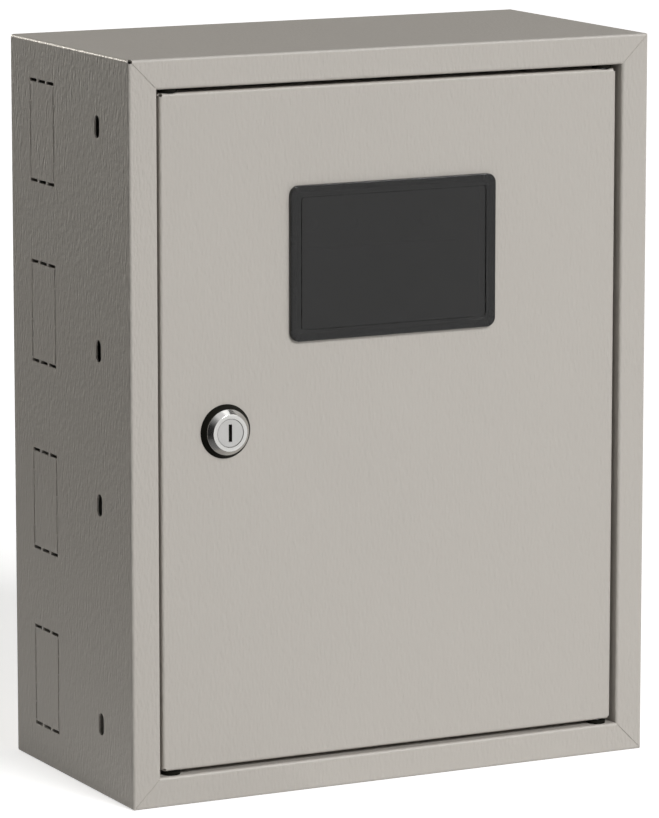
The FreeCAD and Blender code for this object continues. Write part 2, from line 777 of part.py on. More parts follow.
def make_lock_plug():
    """Headed plug with a key slot in front and a square drive for the cam behind."""
    body = turned("lock_plug", [
        (f"-{PLUG_FACE}", "0"),
        (f"-{PLUG_FACE}", "plug_face / 2"),
        (f"plug_head - {PLUG_FACE}", "plug_face / 2"),
        (f"plug_head - {PLUG_FACE}", "plug_diameter / 2"),
        (f"-{CAM_FRONT}", "plug_diameter / 2"),
        (f"-{CAM_FRONT}", "0"),
    ])
    drive = front_sketch(body, CAM_FRONT)
    rectangle(drive, "0", "0", "cam_square", "cam_square")
    pad(drive, "cam_thickness", reverse=True)
    key = front_sketch(body, PLUG_FACE)
    rectangle(key, "0", "0", "key_width", "key_height")
    pocket(key, "key_depth")
    bore = front_sketch(body, CAM_BACK)
    circle(bore, "0", "0", "cam_screw + 2 * thread_clearance")
    pocket(bore, "cam_screw_length", reverse=True)


def make_lock_washer():
    body = new_body("lock_washer", LOCK_X)
    ring = front_sketch(body, DOOR_BACK)
    circle(ring, "0", "0", "lock_washer")
    circle(ring, "0", "0", "barrel_diameter + 2 * barrel_clearance")
    pad(ring, "lock_washer_height", reverse=True)


def make_lock_nut():
    body = new_body("lock_nut", LOCK_X)
    flats = front_sketch(body, f"{DOOR_BACK} - lock_washer_height")
    hexagon(flats, "0", "0", "lock_nut")
    circle(flats, "0", "0", "barrel_diameter + 2 * thread_clearance")
    pad(flats, "lock_nut_height", reverse=True)


def make_lock_cam():
    """Lever on the plug's square; it hangs down when unlocked and turns left behind the lip."""
    body = new_body("lock_cam", LOCK_X)
    hub = front_sketch(body, CAM_FRONT)
    circle(hub, "0", "0", "cam_hub")
    pad(hub, "cam_thickness", reverse=True)
    arm = front_sketch(body, CAM_FRONT)
    outline(arm, [
        ("-cam_width / 2", "0"),
        ("-cam_width / 2", "-cam_length", "cam_tip"),
        ("cam_width / 2", "-cam_length", "cam_tip"),
        ("cam_width / 2", "0"),
    ])
    pad(arm, "cam_thickness", reverse=True)
    square = front_sketch(body, CAM_FRONT)
    rectangle(square, "0", "0", "cam_square + 2 * cam_fit", "cam_square + 2 * cam_fit")
    pocket(square, "cam_thickness")


def make_cam_washer():
    body = new_body("cam_washer", LOCK_X)
    ring = front_sketch(body, CAM_BACK)
    circle(ring, "0", "0", "cam_washer")
    circle(ring, "0", "0", "cam_screw + 2 * thread_clearance")
    pad(ring, "cam_washer_height", reverse=True)


def make_cam_screw():
    body = new_body("cam_screw", LOCK_X)
    head = front_sketch(body, f"{CAM_BACK} - cam_washer_height")
    hexagon(head, "0", "0", "cam_screw_head")
    pad(head, "cam_screw_head_height", reverse=True)
    shank = front_sketch(body, f"{CAM_BACK} - cam_washer_height")
    circle(shank, "0", "0", "cam_screw")
    pad(shank, "cam_screw_length")


# Mounting panel, rail and studs

def make_mounting_panel():
    body = new_body("mounting_panel")
    sheet = front_sketch(body, PANEL_BACK)
    rectangle(sheet, "0", "0", f"2 * {PANEL_X}", f"2 * {PANEL_Z}", "panel_corner")
    stud_hole = "stud_diameter + 2 * stud_clearance"
    for side_x in ("", "-"):
        for side_z in ("", "-"):
            circle(sheet, f"{side_x}{PANEL_STUD_X}", f"{side_z}{PANEL_STUD_Z}", stud_hole)
        circle(sheet, f"{side_x}{RAIL_SCREW_X}", "window_level", "rail_screw + 2 * barrel_clearance")
        for level in (NEUTRAL_Z, EARTH_Z):
            circle(sheet, f"{side_x}{FOOT_X}", level, "foot_peg + 2 * barrel_clearance")
    pad(sheet, "panel_thickness")
    slot = front_sketch(body, PANEL_FRONT)
    obround(slot, "-meter_slot_pitch", "meter_slot_level", "meter_slot_length", "meter_slot_width")
    repeat([pocket(slot, "panel_thickness")], rows(body, slot, "H_Axis", "2 * meter_slot_pitch", 3))


def make_panel_studs():
    """Welded studs whose shoulders hold the mounting panel off the rear."""
    body = new_body("panel_studs")
    shoulder = front_sketch(body, "sheet_thickness")
    circle(shoulder, PANEL_STUD_X, PANEL_STUD_Z, "stud_shoulder")
    thread = front_sketch(body, PANEL_BACK)
    circle(thread, PANEL_STUD_X, PANEL_STUD_Z, "stud_diameter")
    four_corners([pad(shoulder, "panel_standoff"), pad(thread, "stud_length")])


def make_panel_washers():
    body = new_body("panel_washers")
    ring = front_sketch(body, PANEL_FRONT)
    circle(ring, PANEL_STUD_X, PANEL_STUD_Z, "stud_washer")
    circle(ring, PANEL_STUD_X, PANEL_STUD_Z, "stud_diameter + 2 * thread_clearance")
    four_corners([pad(ring, "stud_washer_height")])


def make_panel_nuts():
    body = new_body("panel_nuts")
    flats = front_sketch(body, f"{PANEL_FRONT} + stud_washer_height")
    hexagon(flats, PANEL_STUD_X, PANEL_STUD_Z, "stud_nut")
    circle(flats, PANEL_STUD_X, PANEL_STUD_Z, "stud_diameter + 2 * thread_clearance")
    four_corners([pad(flats, "stud_nut_height")])


def make_din_rail():
    """Top-hat rail behind the window, with a row of slots."""
    body = new_body("din_rail", z="window_level")
    seat = f"-{PANEL_FRONT}"
    brim = f"-{PANEL_FRONT} - rail_height"
    brim_back = f"rail_thickness - {PANEL_FRONT} - rail_height"
    half = []
    for sign in ("", "-"):
        side = [
            (seat, f"{sign}rail_base / 2"),
            (brim_back, f"{sign}rail_base / 2"),
            (brim_back, f"{sign}rail_width / 2"),
            (brim, f"{sign}rail_width / 2"),
            (brim, f"{sign}(rail_base / 2 - rail_thickness)"),
            (f"-{RAIL_SEAT}", f"{sign}(rail_base / 2 - rail_thickness)"),
        ]
        half += reversed(side) if sign else side
    hat = side_sketch(body)
    outline(hat, half)
    pad(hat, RAIL_LENGTH, symmetric=True)
    slot = front_sketch(body, RAIL_SEAT)
    obround(slot, f"-{RAIL_SCREW_X}", "0", "rail_slot_length", "rail_slot_width", upright=False)
    repeat([pocket(slot, "rail_thickness")],
           rows(body, slot, "H_Axis", f"{RAIL_SLOTS - 1} * rail_slot_pitch", RAIL_SLOTS))


def make_rail_screws():
    body = new_body("rail_screws", z="window_level")
    head = front_sketch(body, RAIL_SEAT)
    circle(head, RAIL_SCREW_X, "0", "rail_screw_head")
    shank = front_sketch(body, RAIL_SEAT)
    circle(shank, RAIL_SCREW_X, "0", "rail_screw")
    length = "rail_thickness + panel_thickness + rail_screw_length"
    repeat([pad(head, "rail_screw_head_height"), pad(shank, length, reverse=True)], mirror(body, "YZ_Plane"))


def make_rail_nuts():
    body = new_body("rail_nuts", z="window_level")
    flats = front_sketch(body, PANEL_BACK)
    hexagon(flats, RAIL_SCREW_X, "0", "rail_nut")
    circle(flats, RAIL_SCREW_X, "0", "rail_screw + 2 * thread_clearance")
    repeat([pad(flats, "rail_nut_height", reverse=True)], mirror(body, "YZ_Plane"))


# Terminal bars

def make_bar(kind, z):
    """Brass bar with eight wire ways, its feet, end bolts and clamping screws."""
    bar = new_body(kind + "_bar", z=z)
    block = front_sketch(bar, BAR_SEAT)
    rectangle(block, "0", "0", f"2 * {FOOT_X} + 2 * bar_end", "bar_height")
    for side in ("", "-"):
        circle(block, f"{side}{FOOT_X}", "0", "bar_screw + 2 * thread_clearance")
    pad(block, "bar_depth")
    wire = plan_sketch(bar)
    circle(wire, f"-{LAST_WAY}", f"-{BAR_SEAT} - bar_wire_depth", "bar_wire_hole")
    tapped = front_sketch(bar, BAR_FRONT)
    circle(tapped, f"-{LAST_WAY}", "0", "bar_screw + 2 * thread_clearance")
    repeat([pocket(wire, symmetric=True), pocket(tapped, "bar_depth - bar_wire_depth")],
           rows(bar, tapped, "H_Axis", f"{BAR_WAYS - 1} * bar_pitch", BAR_WAYS))

    feet = new_body(kind + "_feet", z=z)
    stand = side_sketch(feet, FOOT_X)
    outline(stand, [
        (f"-{PANEL_FRONT}", "-foot_base / 2"),
        (f"-{PANEL_FRONT}", "foot_base / 2"),
        (f"-{BAR_SEAT}", "foot_top / 2"),
        (f"-{BAR_SEAT}", "-foot_top / 2"),
    ])
    peg = front_sketch(feet, PANEL_FRONT)
    circle(peg, FOOT_X, "0", "foot_peg")
    insert = front_sketch(feet, BAR_SEAT)
    circle(insert, FOOT_X, "0", "bar_screw + 2 * thread_clearance")
    repeat([
        pad(stand, "foot_width", symmetric=True),
        pad(peg, "panel_thickness + foot_peg_length", reverse=True),
        pocket(insert, "foot_bolt_length + thread_clearance"),
    ], mirror(feet, "YZ_Plane"))

    bolts = new_body(kind + "_bolts", z=z)
    bolt_head = front_sketch(bolts, BAR_FRONT)
    circle(bolt_head, FOOT_X, "0", "bar_screw_head")
    bolt_shank = front_sketch(bolts, BAR_FRONT)
    circle(bolt_shank, FOOT_X, "0", "bar_screw")
    repeat([
        pad(bolt_head, "bar_screw_head_height"),
        pad(bolt_shank, "bar_depth + foot_bolt_length", reverse=True),
    ], mirror(bolts, "YZ_Plane"))

    screws = new_body(kind + "_screws", z=z)
    head = front_sketch(screws, f"{BAR_FRONT} + bar_screw_lift")
    circle(head, f"-{LAST_WAY}", "0", "bar_screw_head")
    shank = front_sketch(screws, f"{BAR_FRONT} + bar_screw_lift")
    circle(shank, f"-{LAST_WAY}", "0", "bar_screw")
    grip = "bar_screw_lift + bar_depth - bar_wire_depth - bar_wire_hole / 2"
    repeat([pad(head, "bar_screw_head_height"), pad(shank, grip, reverse=True)],
           rows(screws, head, "H_Axis", f"{BAR_WAYS - 1} * bar_pitch", BAR_WAYS))


# Earth studs on the rear pan and on the door

def make_earth_stud():
    stud = new_body("earth_stud", EARTH_STUD_X, z=EARTH_STUD_Z)
    rod = front_sketch(stud, "sheet_thickness")
    circle(rod, "0", "0", "stud_diameter")
    pad(rod, "earth_stud_length")
    washer = new_body("earth_washer", EARTH_STUD_X, z=EARTH_STUD_Z)
    ring = front_sketch(washer, "sheet_thickness")
    circle(ring, "0", "0", "stud_washer")
    circle(ring, "0", "0", "stud_diameter + 2 * thread_clearance")
    pad(ring, "stud_washer_height")
    nut = new_body("earth_nut", EARTH_STUD_X, z=EARTH_STUD_Z)
    flats = front_sketch(nut, "sheet_thickness + stud_washer_height")
    hexagon(flats, "0", "0", "stud_nut")
    circle(flats, "0", "0", "stud_diameter + 2 * thread_clearance")
    pad(flats, "stud_nut_height")


def make_door_earth_stud():
    stud = new_body("door_earth_stud", DOOR_STUD_X, z=DOOR_STUD_Z)
    rod = front_sketch(stud, DOOR_BACK)
    circle(rod, "0", "0", "stud_diameter")
    pad(rod, "door_stud_length", reverse=True)
    nut = new_body("door_earth_nut", DOOR_STUD_X, z=DOOR_STUD_Z)
    flats = front_sketch(nut, DOOR_BACK)
    hexagon(flats, "0", "0", "stud_nut")
    circle(flats, "0", "0", "stud_diameter + 2 * thread_clearance")
    pad(flats, "stud_nut_height", reverse=True)


make_wrapper()
make_back_panel()
make_door_panel()
make_hinge_bushes()
make_hinge_pins()
make_hinge_brackets()
make_pin_clips()
make_window()
make_lock_collar()
make_lock_housing()
make_lock_plug()
make_lock_washer()
make_lock_nut()
make_lock_cam()
make_cam_washer()
make_cam_screw()
make_mounting_panel()
make_panel_studs()
make_panel_washers()
make_panel_nuts()
make_din_rail()
make_rail_screws()
make_rail_nuts()
make_bar("neutral", NEUTRAL_Z)
make_bar("earth", EARTH_Z)
make_earth_stud()
make_door_earth_stud()
doc.recompute()

# Every object must be sound before a file is written.
for item in doc.Objects:
    if "Invalid" in item.State or "Error" in item.State:
        raise RuntimeError(f"{item.Label} failed: {item.State}")
bodies = [item for item in doc.Objects if item.TypeId == "PartDesign::Body"]
for body in bodies:
    if body.Shape.isNull() or not body.Shape.isValid() or not body.Shape.Solids:
        raise RuntimeError(f"{body.Label} has no sound shape")

os.makedirs("parts", exist_ok=True)
for body in bodies:
    body.Shape.exportStep(f"parts/{body.Label}.step")
    print(f"{body.Label}: {len(body.Shape.Solids)} solids, {body.Shape.Volume:.0f} mm3")
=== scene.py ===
import bmesh
import bpy
import math
from mathutils import Matrix, Vector


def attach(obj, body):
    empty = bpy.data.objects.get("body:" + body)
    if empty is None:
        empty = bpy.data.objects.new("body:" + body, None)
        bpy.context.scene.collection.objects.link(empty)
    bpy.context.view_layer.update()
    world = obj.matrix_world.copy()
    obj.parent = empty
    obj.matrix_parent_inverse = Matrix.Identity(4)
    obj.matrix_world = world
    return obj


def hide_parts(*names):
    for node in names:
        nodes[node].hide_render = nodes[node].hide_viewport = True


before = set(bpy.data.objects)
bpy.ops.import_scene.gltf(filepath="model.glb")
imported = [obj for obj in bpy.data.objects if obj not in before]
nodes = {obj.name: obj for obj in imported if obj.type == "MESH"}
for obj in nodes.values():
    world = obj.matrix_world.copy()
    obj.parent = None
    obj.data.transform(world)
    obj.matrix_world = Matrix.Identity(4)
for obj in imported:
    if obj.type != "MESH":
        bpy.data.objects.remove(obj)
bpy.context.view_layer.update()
scene = bpy.context.scene

# Sizes and places on the box are in millimetres, those of the studio in metres
MM = 0.001

# Ending of a finish's name, after the record's slot that it belongs to
LOOK = "_look"

WHITE = (1.0, 1.0, 1.0, 1.0)


# Places taken from the frame: x to the right, depth in front of the wall, z up

AXES = {"x": (0, 1.0), "depth": (1, -1.0), "z": (2, 1.0)}


def reach(name, axis):
    """Lowest and highest place of a CAD node along an axis."""
    index, sign = AXES[axis]
    places = [sign * corner[index] / MM for corner in nodes[name].bound_box]
    return min(places), max(places)


def middle(name, axis):
    return sum(reach(name, axis)) / 2.0


def outer_places(name, axis, half_width):
    """Centres of the first and the last of a row of like pieces in one CAD node."""
    low, high = reach(name, axis)
    return low + half_width, high - half_width


FLOOR_Z = reach("wrapper", "z")[0] * MM
LOCK_X = middle("lock_housing", "x")
LOCK_Z = middle("lock_housing", "z")


# Sizes that the frame doesn't give: widths are diameters, and across the flats on nuts and bolt heads

THREAD_DEPTH = 0.54  # share of the pitch
NUT_PLAY = 0.1
NUT_ROUND = 0.12

STUD = 6.0
STUD_PITCH = 1.0
STUD_NUT = 10.0
STUD_SHOULDER = 10.0
STUD_TIP = 4.0
STUD_TIP_CHAMFER = 0.4
STUD_CORE_RELIEF = 0.01  # the core lies this far under the roots of the thread
PANEL_STUD_THREAD = 4.0
EARTH_STUD_THREAD = 15.0
DOOR_STUD_THREAD = 7.0

LOCK_STEPS = 96  # faces round the collar and the rim
COLLAR = 29.4
COLLAR_FRONT = 25.0
COLLAR_BORE = 18.4
COLLAR_ROUND = 0.35

RIM = 24.5
RIM_EDGE = 0.8
RIM_FACE = 19.6
RIM_ROUND = 0.15
MOUTH = 15.4
MOUTH_DEPTH = 2.3
PLUG_BORE = 14.96
PLUG_BORE_DEPTH = 3.45
REAR_BORE = 11.16
SHARP_MOUTH = 8.0  # edges of the bore this near to the mouth's centre get no round
BARREL = 18.0
BARREL_PITCH = 1.5
BARREL_THREAD = 11.0
BARREL_RUN_IN = 1.4  # the thread starts this far inside the plain part
BARREL_RUN_OUT = 0.1  # and stops this far short of the barrel's end
LOCK_NUT = 24.0
LOCK_NUT_ROUND = 0.15

# Black block in the keyway, which is painted shade for the dark inside of the slot
KEYWAY_SHADE_BLOCK = (1.9, 5.8, 9.2)  # across, deep and high
KEYWAY_SHADE_SUNK = 2.0  # behind the face of the plug

CAM_SCREW = 5.0
CAM_SCREW_HEAD = 8.0

RAIL_SCREW = 5.0
RAIL_SCREW_HEAD = 9.5
RAIL_SCREW_HEAD_HEIGHT = 3.0
RAIL_SCREW_ROUND = 0.1

BAR_SCREW = 4.0
BAR_SCREW_HEAD = 6.5
BAR_SCREW_HEAD_HEIGHT = 2.4
BAR_SCREW_ROUND = 0.08
BAR_WAYS = 8


# Node helpers

def add(tree, kind, sockets=None, **settings):
    """New node whose sockets get a value, or a link where the value is another node's socket."""
    made = tree.nodes.new(kind)
    for name, value in settings.items():
        setattr(made, name, value)
    for name, value in (sockets or {}).items():
        if isinstance(value, bpy.types.NodeSocket):
            tree.links.new(value, made.inputs[name])
        else:
            made.inputs[name].default_value = value
    return made


def calc(tree, operation, first, second=0.0, third=0.0):
    made = add(tree, "ShaderNodeMath", dict(enumerate((first, second, third))), operation=operation)
    return made.outputs[0]


def vector_calc(tree, operation, first, second):
    made = add(tree, "ShaderNodeVectorMath", {0: first, 1: second}, operation=operation)
    return made.outputs["Vector"]


def noise(tree, vector, scale, detail, roughness, output="Fac"):
    made = add(tree, "ShaderNodeTexNoise", {
        "Vector": vector, "Scale": scale, "Detail": detail, "Roughness": roughness})
    return made.outputs[output]


def span(tree, value, low, high):
    """Maps 0..1 to low..high."""
    made = add(tree, "ShaderNodeMapRange", {"Value": value, "To Min": low, "To Max": high})
    return made.outputs["Result"]


def shade(tree, colour, amount):
    """Colour made lighter or darker by a factor."""
    made = add(tree, "ShaderNodeVectorMath", {0: colour, "Scale": amount}, operation="SCALE")
    return made.outputs["Vector"]


def new_material(name):
    """Material with its node tree and its shader."""
    made = bpy.data.materials.new(name)
    made.use_nodes = True
    return made, made.node_tree, made.node_tree.nodes["Principled BSDF"]


def new_group(name, inputs, outputs):
    tree = bpy.data.node_groups.new(name, "ShaderNodeTree")
    for title, kind in inputs:
        tree.interface.new_socket(title, in_out="INPUT", socket_type=kind)
    for title, kind in outputs:
        tree.interface.new_socket(title, in_out="OUTPUT", socket_type=kind)
    return tree, tree.nodes.new("NodeGroupInput").outputs, tree.nodes.new("NodeGroupOutput").inputs


# Finishes: each group gives a colour, a roughness and the height of a relief

FINISH_IN = [("Vector", "NodeSocketVector"), ("Colour", "NodeSocketColor")]
FINISH_OUT = [("Colour", "NodeSocketColor"), ("Roughness", "NodeSocketFloat"), ("Height", "NodeSocketFloat")]


def finish_group(name, pattern):
    """Node group of a finish, from a pattern that works out its three outputs."""
    tree, given, out = new_group(name, FINISH_IN, FINISH_OUT)
    results = pattern(tree, given["Vector"], given["Colour"])
    for (title, _), result in zip(FINISH_OUT, results):
        tree.links.new(result, out[title])
    return tree


def powder_coat(tree, vector, colour):
    """Soft lumps of a few millimetres, drawn out upwards, with finer peel over them."""
    drawn_out = (1.0, 1.0, 0.35)
    peel_height = 0.3
    drawn = vector_calc(tree, "MULTIPLY", vector, drawn_out)
    lumps = noise(tree, drawn, scale=600.0, detail=1.0, roughness=0.4)
    peel = noise(tree, vector, scale=620.0, detail=1.0, roughness=0.5)
    cloud = noise(tree, vector, scale=14.0, detail=3.0, roughness=0.5)
    mottle = span(tree, lumps, 0.995, 1.005)
    drift = span(tree, cloud, 0.985, 1.015)
    tone = shade(tree, colour, calc(tree, "MULTIPLY", mottle, drift))
    return tone, span(tree, peel, 0.39, 0.53), calc(tree, "MULTIPLY_ADD", peel, peel_height, lumps)


def plated_steel(tree, vector, colour):
    """Zinc plating: fine grain with a slow drift in tone."""
    drift = noise(tree, vector, scale=160.0, detail=4.0, roughness=0.6)
    grain = noise(tree, vector, scale=2600.0, detail=2.0, roughness=0.6)
    return shade(tree, colour, span(tree, drift, 0.86, 1.1)), span(tree, drift, 0.2, 0.42), grain


def zinc_spangle(tree, vector, colour):
    """Hot-dip zinc: crystals of several millimetres, each with its own tone and gloss."""
    sway = (0.004, 0.004, 0.004)
    warp = noise(tree, vector, scale=90.0, detail=2.0, roughness=0.5, output="Color")
    moved = vector_calc(tree, "ADD", vector, vector_calc(tree, "MULTIPLY", warp, sway))
    crystal = add(tree, "ShaderNodeTexVoronoi", {"Vector": moved, "Scale": 120.0})
    tone = add(tree, "ShaderNodeSeparateColor", {"Color": crystal.outputs["Color"]})
    return (shade(tree, colour, span(tree, tone.outputs["Red"], 0.8, 1.12)),
            span(tree, tone.outputs["Green"], 0.28, 0.5), crystal.outputs["Distance"])


def moulded_plastic(tree, vector, colour):
    """Fine spark-eroded grain of a mould."""
    grain = noise(tree, vector, scale=1900.0, detail=2.0, roughness=0.6)
    flow = noise(tree, vector, scale=60.0, detail=2.0, roughness=0.5)
    return shade(tree, colour, span(tree, flow, 0.9, 1.1)), span(tree, grain, 0.38, 0.6), grain


def turned_metal(tree, vector, colour):
    """Tool rings about an axis along Y through the vector's origin."""
    across_axis = (1.0, 0.0, 1.0)
    rings_per_metre = 9000.0
    flat = vector_calc(tree, "MULTIPLY", vector, across_axis)
    radius = add(tree, "ShaderNodeVectorMath", {0: flat}, operation="LENGTH")
    line = calc(tree, "MULTIPLY", radius.outputs["Value"], rings_per_metre)
    rings = add(tree, "ShaderNodeTexNoise", {"W": line, "Scale": 1.0, "Detail": 2.0}, noise_dimensions="1D")
    ring = rings.outputs["Fac"]
    return shade(tree, colour, span(tree, ring, 0.9, 1.06)), span(tree, ring, 0.0, 0.12), ring


POWDER_COAT = finish_group("powder_coat", powder_coat)
PLATED_STEEL = finish_group("plated_steel", plated_steel)
ZINC_SPANGLE = finish_group("zinc_spangle", zinc_spangle)
MOULDED_PLASTIC = finish_group("moulded_plastic", moulded_plastic)
TURNED_METAL = finish_group("turned_metal", turned_metal)


def finish(slot, group, colour, bump, dulled=0.0, centre=(0.0, 0.0, 0.0), **sockets):
    """Material of a slot from a finish group; bump is the relief's height in millimetres."""
    made, tree, surface = new_material(slot + LOOK)
    place = add(tree, "ShaderNodeTexCoord")
    centred = add(tree, "ShaderNodeMapping", {
        "Vector": place.outputs["Object"], "Location": -Vector(centre)})
    coat = add(tree, "ShaderNodeGroup", node_tree=group)
    tree.links.new(centred.outputs["Vector"], coat.inputs["Vector"])
    coat.inputs["Colour"].default_value = (*colour, 1.0)
    relief = add(tree, "ShaderNodeBump", {
        "Height": coat.outputs["Height"], "Strength": 1.0, "Distance": bump * MM})
    tree.links.new(coat.outputs["Colour"], surface.inputs["Base Color"])
    tree.links.new(calc(tree, "ADD", coat.outputs["Roughness"], dulled), surface.inputs["Roughness"])
    tree.links.new(relief.outputs["Normal"], surface.inputs["Normal"])
    for title, value in sockets.items():
        surface.inputs[title.replace("_", " ")].default_value = value
    return made


def smoked_plastic():
    """Clear plastic with a dark tint, faintly wavy from moulding."""
    made, tree, surface = new_material("smoked_plastic" + LOOK)
    wave_height = 0.02
    place = add(tree, "ShaderNodeTexCoord")
    flow = noise(tree, place.outputs["Object"], scale=18.0, detail=2.0, roughness=0.5)
    relief = add(tree, "ShaderNodeBump", {"Height": flow, "Strength": 1.0, "Distance": wave_height * MM})
    tint = add(tree, "ShaderNodeMix", {
        "Factor": flow, "A": (0.05, 0.048, 0.046, 1.0), "B": (0.07, 0.068, 0.066, 1.0)}, data_type="RGBA")
    tree.links.new(tint.outputs["Result"], surface.inputs["Base Color"])
    tree.links.new(span(tree, flow, 0.02, 0.06), surface.inputs["Roughness"])
    tree.links.new(relief.outputs["Normal"], surface.inputs["Normal"])
    surface.inputs["IOR"].default_value = 1.45
    surface.inputs["Transmission Weight"].default_value = 1.0
    return made


LOCK_CENTRE = (LOCK_X * MM, 0.0, LOCK_Z * MM)
PAINT = finish("case_paint", POWDER_COAT, (0.485, 0.456, 0.418), bump=0.3, Specular_IOR_Level=0.5)
BLACK = finish("black_plastic", MOULDED_PLASTIC, (0.0068, 0.0066, 0.0046), bump=0.01, Specular_IOR_Level=0.06)
ZINC = finish("zinc_steel", PLATED_STEEL, (0.6, 0.6, 0.62), bump=0.004, Metallic=1.0)
GALVANISED = finish("galvanised_sheet", ZINC_SPANGLE, (0.56, 0.57, 0.58), bump=0.03, Metallic=1.0)
BRASS = finish("brass", PLATED_STEEL, (0.72, 0.5, 0.2), bump=0.004, Metallic=1.0)
BLUE = finish("blue_plastic", MOULDED_PLASTIC, (0.02, 0.09, 0.33), bump=0.01)
GREEN = finish("green_plastic", MOULDED_PLASTIC, (0.02, 0.2, 0.06), bump=0.01)
CHROME = finish("lock_chrome", TURNED_METAL, (0.57, 0.565, 0.55), bump=0.001, dulled=0.1, centre=LOCK_CENTRE,
                Metallic=1.0)
SATIN = finish("lock_satin", TURNED_METAL, (0.465, 0.46, 0.45), bump=0.002, dulled=0.26, centre=LOCK_CENTRE,
               Metallic=1.0)
SMOKED = smoked_plastic()

FINISHES = {
    PAINT: ["wrapper", "back_panel", "door_panel", "hinge_brackets"],
    BLACK: ["hinge_bushes", "lock_collar"],
    ZINC: ["hinge_pins", "pin_clips", "lock_washer", "lock_nut", "lock_cam", "cam_washer", "cam_screw",
           "panel_studs", "panel_washers", "panel_nuts", "rail_screws", "rail_nuts", "neutral_bolts",
           "neutral_screws", "earth_bolts", "earth_screws", "earth_stud", "earth_washer", "earth_nut",
           "door_earth_stud", "door_earth_nut"],
    GALVANISED: ["mounting_panel", "din_rail"],
    BRASS: ["neutral_bar", "earth_bar"],
    BLUE: ["neutral_feet"],
    GREEN: ["earth_feet"],
    SMOKED: ["window"],
    CHROME: ["lock_housing"],
    SATIN: ["lock_plug"],
}
for look, names in FINISHES.items():
    for name in names:
        nodes[name].data.materials.clear()
        nodes[name].data.materials.append(look)


# Shapes

MERGED = 1e-7  # metres


def put(x, depth, z):
    return Vector((x * MM, -depth * MM, z * MM))


def fresh_faces(shape, old):
    return [face for face in shape.faces if face not in old]


def corners_of(faces):
    return list({vert for face in faces for vert in face.verts})


def turn(shape, x, z, section, closed=False, steps=64):
    """Solid turned about an axis square to the wall, from a section of (depth, radius)."""
    verts = [shape.verts.new(put(x + radius, depth, z)) for depth, radius in section]
    pairs = list(zip(verts, verts[1:]))
    if closed:
        pairs.append((verts[-1], verts[0]))
    edges = [shape.edges.new(pair) for pair in pairs]
    old = set(shape.faces)
    bmesh.ops.spin(shape, geom=verts + edges, cent=put(x, 0.0, z), axis=(0.0, 1.0, 0.0),
                   angle=2.0 * math.pi, steps=steps, use_merge=True)
    bmesh.ops.remove_doubles(shape, verts=corners_of(fresh_faces(shape, old)), dist=MERGED)
    bmesh.ops.recalc_face_normals(shape, faces=fresh_faces(shape, old))


def shank(shape, x, z, start, end, diameter, steps=64):
    radius = diameter / 2.0
    turn(shape, x, z, [(start, 0.0), (start, radius), (end, radius), (end, 0.0)], steps=steps)


def cut_flat(shape, old, place, outward):
    """Slices what was made after the old faces at a plane, drops the outer part and closes the cut."""
    fresh = fresh_faces(shape, old)
    edges = list({edge for face in fresh for edge in face.edges})
    cut = bmesh.ops.bisect_plane(shape, geom=corners_of(fresh) + edges + fresh, dist=MERGED, plane_co=place,
                                 plane_no=outward, clear_outer=True)
    rim = [part for part in cut["geom_cut"] if isinstance(part, bmesh.types.BMEdge)]
    bmesh.ops.edgeloop_fill(shape, edges=rim)
    bmesh.ops.recalc_face_normals(shape, faces=fresh_faces(shape, old))


def spoke(angle):
    """Direction in the plane of the wall, turned from the right towards the top."""
    return Vector((math.cos(angle), 0.0, math.sin(angle)))


def thread_core(diameter, pitch):
    """Radius at the root of a thread."""
    return diameter / 2.0 - THREAD_DEPTH * pitch


def thread(shape, x, z, start, end, diameter, pitch):
    """Right-hand thread from start to end, with its crests at the diameter."""
    steps_per_turn, crest = 36, 0.12
    way = math.copysign(1.0, end - start)
    core, radius = thread_core(diameter, pitch), diameter / 2.0
    section = [(0.0, core), (0.5 - crest / 2.0, radius), (0.5 + crest / 2.0, radius), (1.0, core)]
    verts = [shape.verts.new(put(x + out, start + way * along * pitch, z)) for along, out in section]
    edges = [shape.edges.new(pair) for pair in zip(verts, verts[1:])]
    turns = abs(end - start) / pitch - 1.0
    steps = int(steps_per_turn * turns)
    rise = turns * pitch * MM / steps
    old = set(shape.faces)
    axis = put(x, 0.0, z)
    bmesh.ops.spin(shape, geom=verts + edges, cent=axis, axis=(0.0, -way, 0.0), dvec=(0.0, -way * rise, 0.0),
                   angle=turns * 2.0 * math.pi, steps=steps)
    for face in fresh_faces(shape, old):
        outward = face.calc_center_median() - axis
        outward.y = 0.0
        if face.normal.dot(outward) < 0.0:
            face.normal_flip()


def hexagon_block(shape, x, z, near, far, flats, bore=0.0):
    """Nut turned with chamfered ends and cut to six flats, or a bolt head where there is no bore."""
    old = set(shape.faces)
    crown, corner, chamfer = 0.48 * flats, 0.59 * flats, math.radians(30.0)
    drop = (corner - crown) * math.tan(chamfer)
    turn(shape, x, z, [(near, bore / 2.0), (near, crown), (near + drop, corner), (far - drop, corner),
                       (far, crown), (far, bore / 2.0)], closed=bore > 0.0, steps=72)
    for side_number in range(6):
        side = spoke(math.radians(60.0 * side_number + 30.0))
        cut_flat(shape, old, put(x, near, z) + side * flats / 2.0 * MM, side)


def slotted_head(shape, x, z, under, top, diameter, angle):
    """Cheese head with a screwdriver slot turned to an angle."""
    half_slot, slot_depth, steps = 0.5, 1.1, 40
    bottom = top - slot_depth
    shank(shape, x, z, under, bottom, diameter, steps)
    for way in (1.0, -1.0):
        old = set(shape.faces)
        shank(shape, x, z, bottom, top, diameter, steps)
        side = spoke(angle + math.pi / 2.0) * way
        cut_flat(shape, old, put(x, under, z) + side * half_slot * MM, -side)


